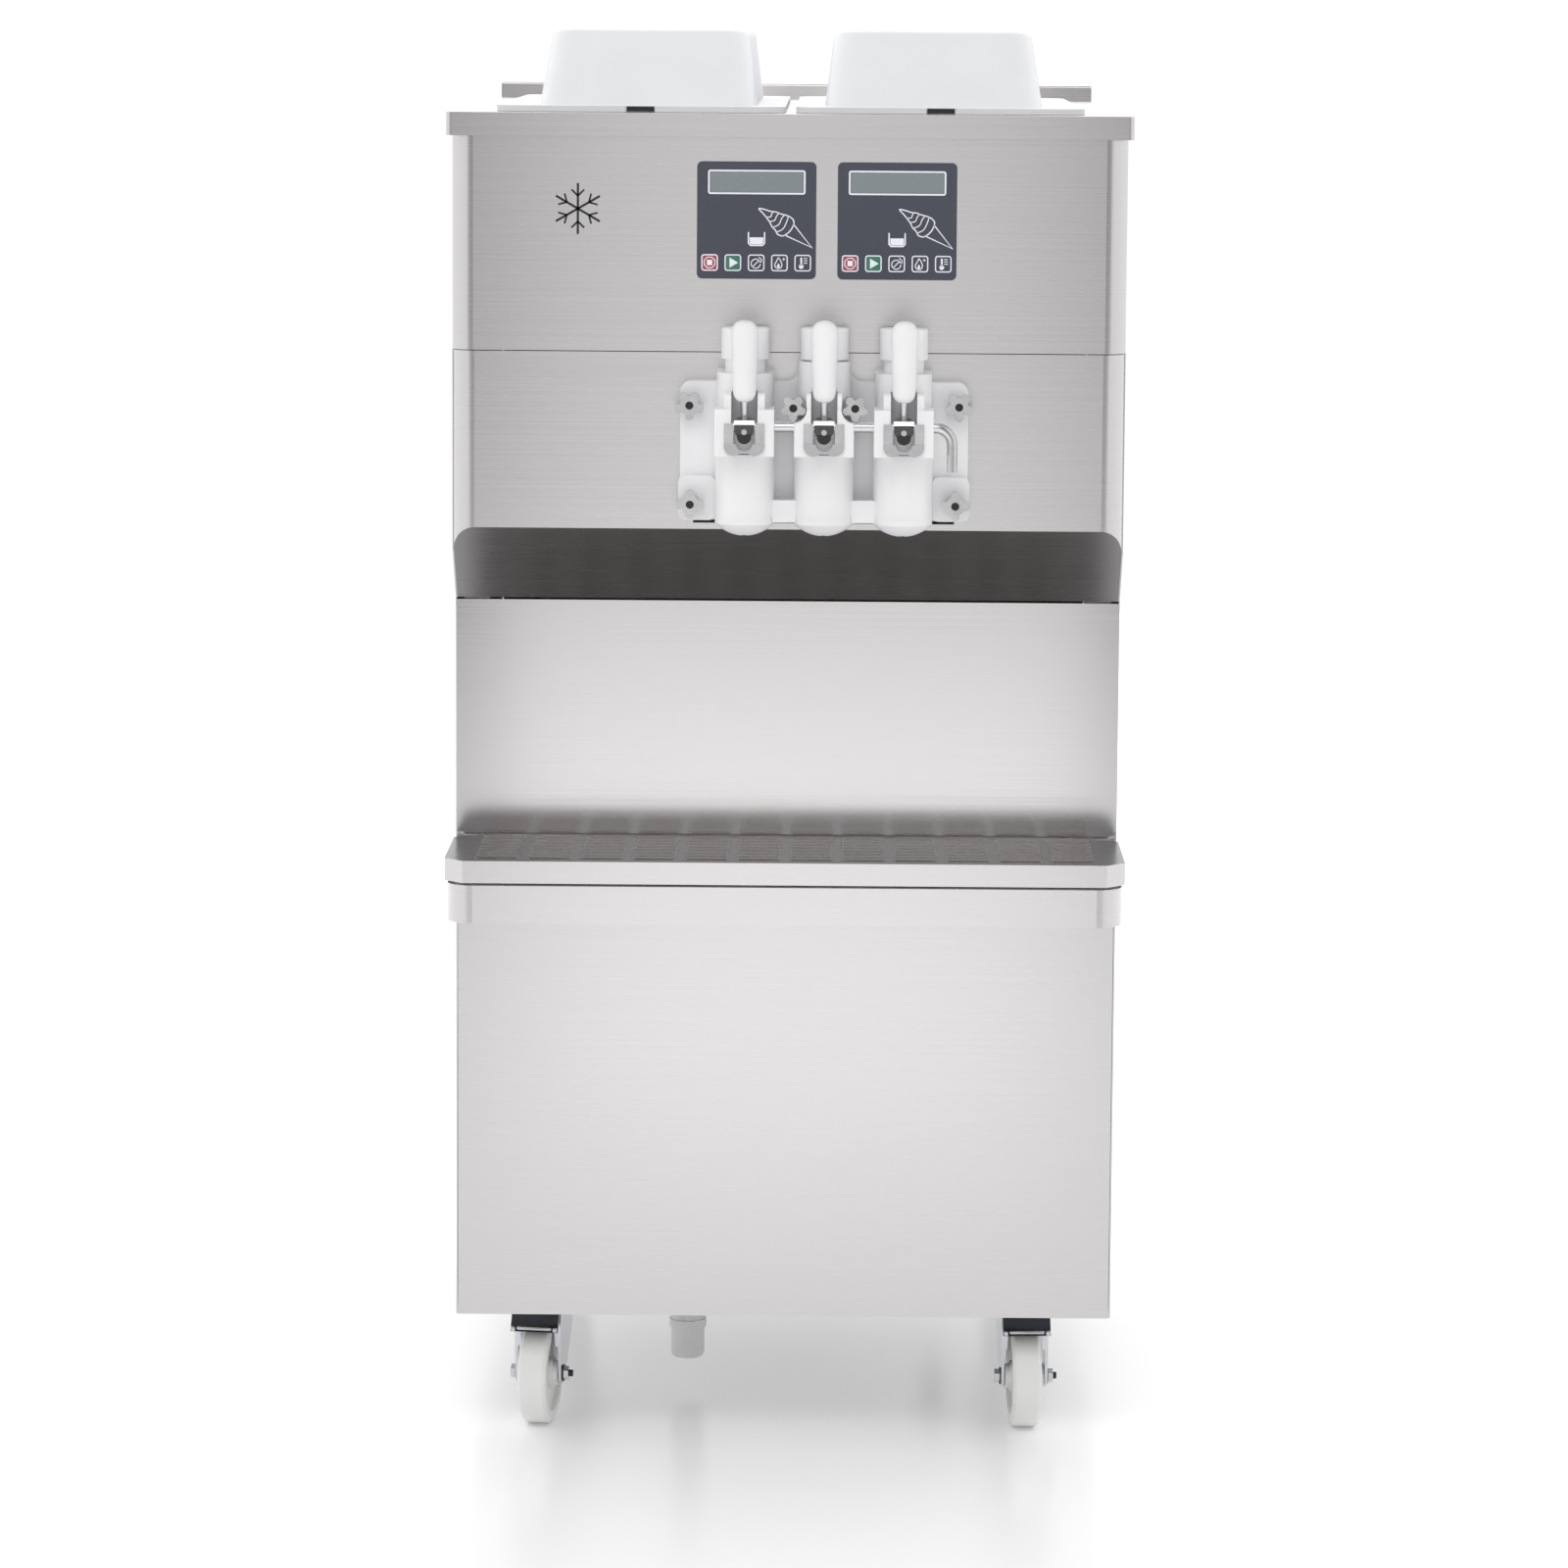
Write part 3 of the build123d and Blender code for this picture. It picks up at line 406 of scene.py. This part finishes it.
def key_icons(white):
    """One plain sign on each key: stop, go, stir off, heat and temperature."""
    stop, go, stir, heat, cold = ((x, KEY_Y) for x in KEY_X)
    white.line(turned(arc((0, 0), 5.4, 0, 315, 7), 22.5, stop), 0.8, closed=True)
    white.area(rounded_square(stop, 5.0, 5.0, 0.5))
    white.area([(go[0] - 3.2, go[1] + 4.8), (go[0] + 5.0, go[1]), (go[0] - 3.2, go[1] - 4.8)])
    white.line(arc((stir[0] - 0.4, stir[1] - 0.8), 4.3, 15, 360, 24), 0.9)
    white.line([(stir[0] - 3.4, stir[1] - 3.8), (stir[0] + 2.6, stir[1] + 2.2)], 0.9)
    hook = [(2.2, 5.4), (4.8, 3.4), (5.0, 0.4)]
    white.line([(stir[0] + x, stir[1] + y) for x, y in hook], 0.8)
    flame = [(0, 5.4), (2.2, 1.8), (3.4, -1.6), (2.2, -4.6), (0, -5.2), (-2.2, -4.6), (-3.4, -1.6),
             (-1.8, 1.4), (0, 5.4)]
    white.line([(heat[0] - 1.0 + x, heat[1] + y) for x, y in flowing(flame, 3)], 0.9)
    white.area([(heat[0] - 1.0 + 0.42 * x, heat[1] - 2.4 + 0.42 * y) for x, y in flame[:-1]])
    white.line([(heat[0] + 2.6, heat[1] + 3.6), (heat[0] + 5.4, heat[1] + 3.6)], 0.8)
    white.line([(heat[0] + 4.0, heat[1] + 2.2), (heat[0] + 4.0, heat[1] + 5.0)], 0.8)
    white.line([(cold[0] - 1.4, cold[1] + 5.2), (cold[0] - 1.4, cold[1] - 2.0)], 1.8)
    white.area(arc((cold[0] - 1.4, cold[1] - 3.2), 2.3, 0, 345, 15))
    for tick in (4.4, 2.2, 0.0):
        white.line([(cold[0] + 0.8, cold[1] + tick), (cold[0] + 4.4, cold[1] + tick)], 0.8)


def flowing(points, steps=5):
    """A smooth line through a few points."""
    ends = [Vector(points[0])] + [Vector(p) for p in points] + [Vector(points[-1])]
    line = []
    for a, b, c, d in zip(ends, ends[1:], ends[2:], ends[3:]):
        for i in range(steps):
            t = i / steps
            line.append(0.5 * (2 * b + (c - a) * t + (2 * a - 5 * b + 4 * c - d) * t ** 2
                               + (3 * b - a - 3 * c + d) * t ** 3))
    return [tuple(point) for point in line] + [tuple(points[-1])]


def cone_drawing(white):
    """A plain swirl in a cone, leaning back to the left."""
    place = {"degrees": 52.0, "shift": (29.5, -7.5)}
    white.line(turned([(-6.6, -1.6), (0.0, -29.0), (6.6, -1.6)], **place), 1.15)
    bulb = [(-8.6, -0.6), (-10.2, 4.0), (-8.4, 8.4), (-8.0, 12.4), (-6.0, 16.8), (-4.6, 21.4), (-3.4, 26.6),
            (-2.2, 33.0), (0.6, 28.2), (2.4, 23.2), (5.2, 18.6), (6.6, 14.0), (8.6, 9.6), (10.0, 4.2),
            (8.6, -0.6), (3.0, -2.8), (-3.0, -2.8), (-8.6, -0.6)]
    white.line(turned(flowing(bulb), **place), 1.1)
    strands = (
        [(-9.2, 6.2), (-3.0, 3.4), (4.4, 4.8), (9.6, 6.8)],
        [(-8.0, 12.0), (-2.4, 9.0), (3.4, 10.4), (8.2, 10.4)],
        [(-5.6, 17.8), (-1.8, 14.6), (2.6, 15.6), (6.2, 15.4)],
        [(-4.2, 22.8), (-1.4, 19.6), (1.2, 20.4), (4.0, 20.4)],
    )
    for strand in strands:
        white.line(turned(flowing(strand), **place), 0.9)


def control_panel(side, x, z):
    """Everything printed on one control panel."""
    low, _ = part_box("control_overlays")
    centre = Vector((x, low.y, z))
    white, red, green = Print(centre, 0.2 * MM), Print(centre, 0.1 * MM), Print(centre, 0.1 * MM)
    window_low, window_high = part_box("display_windows")
    window = (0, ((window_low.z + window_high.z) / 2 - z) / MM)
    white.line(rounded_square(window, *WINDOW_FRAME, 1.6), 1.5, closed=True)
    for key_x in KEY_X:
        white.line(rounded_square((key_x, KEY_Y), KEY_SIZE - 1, KEY_SIZE - 1, 2.2), 1.1, closed=True)
    red.area(rounded_square((KEY_X[0], KEY_Y), KEY_SIZE - 1.4, KEY_SIZE - 1.4, 2.0))
    green.area(rounded_square((KEY_X[1], KEY_Y), KEY_SIZE - 1.4, KEY_SIZE - 1.4, 2.0))
    tub = [(-7.6, -11.0), (-7.6, -21.5), (-5.6, -23.6), (5.6, -23.6), (7.6, -21.5), (7.6, -11.0)]
    white.line(tub, 1.3)
    white.area([(-6.4, -16.0), (-6.4, -21.2), (-5.2, -22.6), (5.2, -22.6), (6.4, -21.2), (6.4, -16.0)])
    cone_drawing(white)
    key_icons(white)
    white.finish(f"panel_print_{side}", PRINT_WHITE)
    red.finish(f"stop_key_field_{side}", PRINT_RED)
    green.finish(f"go_key_field_{side}", PRINT_GREEN)


def control_panels():
    low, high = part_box("control_overlays")
    middle_z = (low.z + high.z) / 2
    control_panel("left", low.x + PANEL_WIDTH / 2, middle_z)
    control_panel("right", high.x - PANEL_WIDTH / 2, middle_z)


FROST_X = -0.200
FROST_UP = 0.134                              # above the lower edge of the head panel


def frost_mark():
    """A plain frost crystal printed on the head."""
    low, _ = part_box("head_upper_panel")
    mark = Print(Vector((FROST_X, low.y, low.z + FROST_UP)), 0.15 * MM)
    for arm in range(6):
        mark.line(turned([(0, 0), (0, 24)], 60 * arm, (0, 0)), 2.2)
        for side in (-1, 1):
            mark.line(turned([(0, 12), (side * 6, 18)], 60 * arm, (0, 0)), 1.8)
    mark.finish("frost_mark", PRINT_AND_SHADOW_BLACK, "cabinet_steel")


# ---------------------------------------------------------------- small hardware
KNOBS = ("upper_left", "inner_left", "inner_right", "upper_right", "lower_left", "lower_right")
LEVERS = ("left", "middle", "right")
CASTERS = ("front_left", "front_right", "rear_left", "rear_right")
SCREW_ROWS = 5
BOLT_AT = (0.035, 0.029)                      # caster bolts from the king pin
GLAND_AT = (0.16, 0.39)                       # supply lead, near the right rear corner
AXLE = (-0.035, 0.050)                        # Y and Z of the axle in a caster's own frame
LEG_FACE = 23.0 * MM                          # outside of the fork's legs
AXLE_END = 0.029


def joint_at(name):
    """A point on the axis of a joint."""
    return next(joint["pos_m"] for joint in frame["joints"] if joint["name"] == name)


def panel_screws():
    """Domed screws down both edges of the rear panel."""
    mesh = bmesh.new()
    profile = screw_profile(4.0 * MM, 1.6 * MM)
    rear_low, rear_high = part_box("rear_panel")
    pitch = (rear_high.z - rear_low.z - 0.06) / (SCREW_ROWS - 1)
    for row in range(SCREW_ROWS):
        z = rear_low.z + 0.03 + row * pitch
        for x in (rear_low.x + 0.012, rear_high.x - 0.012):
            place = Matrix.Translation((x, rear_high.y, z)) @ FACING["+Y"]
            add_turning(mesh, profile, place)
    return place_mesh("rear_panel_screws", mesh, MATERIALS["polished_steel"], "cabinet")


def caster_bolts():
    """Four hexagon bolts under each caster plate."""
    mesh = bmesh.new()
    _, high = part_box("caster_plates")
    hexagon = [(6.5 * MM, 0), (6.5 * MM, 4 * MM), (5.6 * MM, 4.6 * MM)]
    for caster in CASTERS:
        x, y, _ = joint_at(f"swivel_{caster}")
        for dx in (-BOLT_AT[0], BOLT_AT[0]):
            for dy in (-BOLT_AT[1], BOLT_AT[1]):
                place = Matrix.Translation((x + dx, y + dy, high.z - 0.003)) @ FACING["-Z"]
                add_turning(mesh, hexagon, place, steps=6)
    return place_mesh("caster_plate_bolts", mesh, MATERIALS["zinc_plate"], "cabinet", 20)


def cable_gland():
    """Black gland for the supply lead, under the base at the rear."""
    low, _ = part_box("base_plate")
    mesh = bmesh.new()
    profile = [(15 * MM, 0), (15 * MM, 6 * MM), (12 * MM, 7 * MM), (12 * MM, 20 * MM), (9 * MM, 24 * MM),
               (6 * MM, 24.5 * MM), (5.5 * MM, 12 * MM)]
    add_turning(mesh, profile, Matrix.Translation((*GLAND_AT, low.z)) @ FACING["-Z"], 24)
    return place_mesh("cable_gland", mesh, RUBBER, "cabinet")


def side_panel_screws():
    """Screws down the rear edge of both side panels."""
    mesh = bmesh.new()
    profile = screw_profile(3.6 * MM, 1.4 * MM)
    for side, facing in (("left", "-X"), ("right", "+X")):
        low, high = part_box(f"side_panel_{side}")
        face = (low if side == "left" else high).x
        inward = 1.3 * MM if side == "left" else -1.3 * MM
        for z in (low.z + 0.05, (low.z + high.z) / 2, high.z - 0.09):
            place = Matrix.Translation((face + inward, high.y - 0.018, z)) @ FACING[facing]
            add_turning(mesh, profile, place, 20)
    return place_mesh("side_panel_screws", mesh, MATERIALS["polished_steel"], "cabinet")


def knob_hole_shadows(name):
    """Painted shadow: a black disc at the bottom of the hole in a star knob, where the hole lies in shade."""
    low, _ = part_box(f"star_knob_{name}")
    axis = joint_at(f"knob_{name}_turn")
    mesh = bmesh.new()
    place = Matrix.Translation((axis[0], low.y + 2.2 * MM, axis[2])) @ FACING["-Y"]
    add_turning(mesh, [(3.75 * MM, -1.5 * MM), (3.75 * MM, 0.0)], place, 24)
    return place_mesh(f"knob_hole_shadow_{name}", mesh, PRINT_AND_SHADOW_BLACK, f"knob_{name}")


def lever_plates(name):
    """Dark plate and black tongue on the nose of a draw lever."""
    low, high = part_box(f"draw_lever_{name}")
    middle = (low.x + high.x) / 2
    face = low.y + 1.2 * MM
    plate = Print(Vector((middle, face, low.z)), 0.35 * MM)
    plate.area([(-9.4, 18.4), (9.4, 18.4), (9.4, 11.6), (7.0, 8.2), (-7.0, 8.2), (-9.4, 11.6)])
    plate.finish(f"nose_plate_{name}", DARK_PLATE, "polished_steel", f"lever_{name}")
    tongue = Print(Vector((middle, face, low.z)), 0.5 * MM)
    tongue.area([(-6.9, 9.4), (6.9, 9.4)] + arc((0, 7.0), 6.8, 0, -180, 14))
    tongue.finish(f"nose_tongue_{name}", PRINT_AND_SHADOW_BLACK, "polished_steel", f"lever_{name}")


def lid_notch_shadows():
    """Painted shadow: a thin black strip at the back of the notch at the front of each lid's flange, where the
    slot lies in shade.
    """
    for side in ("left", "right"):
        low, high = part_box(f"hopper_lid_{side}")
        mesh = bmesh.new()
        middle = ((low.x + high.x) / 2, low.y + 6.6 * MM, low.z + 2.8 * MM)
        add_bar(mesh, middle, (26 * MM, 0.8 * MM, 4.6 * MM))
        place_mesh(f"lid_slot_shadow_{side}", mesh, PRINT_AND_SHADOW_BLACK, f"lid_{side}")


def swivel_frame(name):
    """Axle frame of a caster: X along the axle, -Y the way it trails, origin on the floor."""
    swivel, roll = joint_at(f"swivel_{name}"), joint_at(f"roll_{name}")
    way = math.atan2(roll[1] - swivel[1], roll[0] - swivel[0])
    return Matrix.Translation((swivel[0], swivel[1], 0)) @ Matrix.Rotation(way + math.pi / 2, 4, "Z")


def caster_trim(name):
    """Folded edges of the fork, black washers, threaded end and the bright lip of the brake tread."""
    place = swivel_frame(name)
    folds, washers = bmesh.new(), bmesh.new()
    for side in (-1, 1):
        add_bar(folds, (side * 18.2 * MM, -0.0492, 0.0885), (3.6 * MM, 1.4 * MM, 0.018), place, 0.3 * MM)
        across = place @ Matrix.Translation((side * LEG_FACE, *AXLE))
        turn = FACING["+X"] if side > 0 else FACING["-X"]
        add_turning(washers, [(8.4 * MM, 0), (8.4 * MM, 1.0 * MM)], across @ turn, 24)
    end = place @ Matrix.Translation((AXLE_END, *AXLE)) @ FACING["+X"]
    thread = [(3.6 * MM - 0.35 * MM * (i % 2), 0.75 * MM * i) for i in range(6)]
    add_turning(washers, thread, end, 20)
    place_mesh(f"fork_folds_{name}", folds, MATERIALS["zinc_plate"], f"fork_{name}")
    place_mesh(f"axle_washers_{name}", washers, PRINT_AND_SHADOW_BLACK, f"fork_{name}")
    race = bmesh.new()
    ring = [(33.4 * MM, 0.1160), (34.0 * MM, 0.1175), (34.0 * MM, 0.1195), (33.4 * MM, 0.1210)]
    add_turning(race, ring, place, 48)
    place_mesh(f"swivel_race_{name}", race, MATERIALS["polished_steel"], f"fork_{name}")
    if name.startswith("front"):
        lip = bmesh.new()
        add_bar(lip, (0, -0.0683, 0.1018), (0.035, 3.4 * MM, 3.4 * MM), place, 1.4 * MM)
        for side in (-1, 1):
            add_bar(lip, (side * 20.8 * MM, -0.0680, 0.1010), (4.6 * MM, 4.4 * MM, 5.0 * MM), place, 1.6 * MM)
        place_mesh(f"pedal_lip_{name}", lip, MATERIALS["polished_steel"], f"pedal_{name}")


# ---------------------------------------------------------------- stage, lights and camera
FLOOR_HALF = 7
CAMERA_AT = (0.044, -5.482, 1.408)
CAMERA_DOWN = 6.63                            # degrees
CAMERA_ROLL = 0.436                           # degrees
LENS = 124.7                                  # mm on a 36 mm frame
LENS_SHIFT = (-0.0314, -0.10)
# how far a direction points sideways, and how bright the surround is there
WORLD_STEPS = ((0.0, 0.30), (0.34, 0.30), (0.62, 0.98), (1.0, 1.0))


def floor():
    mesh = bmesh.new()
    bmesh.ops.create_grid(mesh, x_segments=1, y_segments=1, size=FLOOR_HALF)
    data = bpy.data.meshes.new("floor")
    mesh.to_mesh(data)
    mesh.free()
    item = bpy.data.objects.new("floor", data)
    bpy.context.scene.collection.objects.link(item)
    shade = Shade("floor_pale", (0.93, 0.93, 0.935), 0.22)
    shade.colour(shade.mix(shade.noise((0.7, 0.7, 0.7)), (0.92, 0.92, 0.925), (0.94, 0.94, 0.945)))
    shade.shader.inputs["Emission Color"].default_value = (1, 1, 1, 1)
    shade.shader.inputs["Emission Strength"].default_value = 0.10
    data.materials.append(shade.material)


def soft_box(name, place, aim, size, power):
    """A soft rectangular light that the camera doesn't see."""
    light = bpy.data.lights.new(name, "AREA")
    light.shape = "RECTANGLE"
    light.size, light.size_y = size
    light.energy = power
    item = bpy.data.objects.new(name, light)
    bpy.context.scene.collection.objects.link(item)
    item.location = place
    item.rotation_euler = (Vector(aim) - Vector(place)).to_track_quat("-Z", "Y").to_euler()
    item.visible_camera = False


def studio():
    """White surround, grey behind the camera, a bright card near the front and soft light from above."""
    world = bpy.data.worlds.new("studio")
    bpy.context.scene.world = world
    world.use_nodes = True
    tree = world.node_tree
    background = tree.nodes["Background"]
    way = tree.nodes.new("ShaderNodeTexCoord")
    split = tree.nodes.new("ShaderNodeSeparateXYZ")
    side = tree.nodes.new("ShaderNodeMath")
    side.operation = "ABSOLUTE"
    ramp = tree.nodes.new("ShaderNodeValToRGB")
    ramp.color_ramp.interpolation = "EASE"
    elements = ramp.color_ramp.elements
    while len(elements) < len(WORLD_STEPS):
        elements.new(0.5)
    for element, (at, value) in zip(elements, WORLD_STEPS):
        element.position = at
        element.color = (value, value * 0.995, value * 0.99, 1)
    behind = tree.nodes.new("ShaderNodeMapRange")
    behind.inputs["From Min"].default_value = 0.05
    behind.inputs["From Max"].default_value = -0.35
    mix = tree.nodes.new("ShaderNodeMix")
    mix.data_type = "RGBA"
    mix.inputs[6].default_value = (1.05, 1.05, 1.05, 1)
    tree.links.new(way.outputs["Generated"], split.inputs["Vector"])
    tree.links.new(split.outputs["X"], side.inputs[0])
    tree.links.new(side.outputs[0], ramp.inputs["Fac"])
    tree.links.new(split.outputs["Y"], behind.inputs["Value"])
    tree.links.new(behind.outputs["Result"], mix.inputs[0])
    tree.links.new(ramp.outputs["Color"], mix.inputs[7])
    tree.links.new(mix.outputs[2], background.inputs["Color"])
    background.inputs["Strength"].default_value = 1.0
    soft_box("front_card", (0.0, -1.85, 1.15), (0, 0, 1.15), (0.76, 2.9), 3.45)
    soft_box("light_top", (-0.5, -2.6, 3.4), (0, -0.2, 0.8), (2.4, 1.6), 27)
    soft_box("light_back", (0.0, 4.6, 3.6), (0, 4.2, 0), (10.0, 7.0), 260)
    bpy.context.scene.view_settings.view_transform = "Standard"


def camera():
    """A long lens level with the lids, tilted down, with the frame slightly shifted."""
    lens = bpy.data.cameras.new("camera")
    lens.sensor_width = 36.0
    lens.lens = LENS
    lens.shift_x, lens.shift_y = LENS_SHIFT
    lens.clip_end = 100
    item = bpy.data.objects.new("camera", lens)
    bpy.context.scene.collection.objects.link(item)
    item.location = CAMERA_AT
    down = Matrix.Rotation(math.radians(90 - CAMERA_DOWN), 4, "X")
    roll = Matrix.Rotation(math.radians(CAMERA_ROLL), 4, "Z")
    item.rotation_euler = (down @ roll).to_euler()
    bpy.context.scene.camera = item


# ---------------------------------------------------------------- the scene
dress_cad()
control_panels()
frost_mark()
panel_screws()
side_panel_screws()
caster_bolts()
cable_gland()
lid_notch_shadows()
for knob in KNOBS:
    knob_hole_shadows(knob)
for lever in LEVERS:
    lever_plates(lever)
for caster in CASTERS:
    caster_trim(caster)
floor()
studio()
camera()
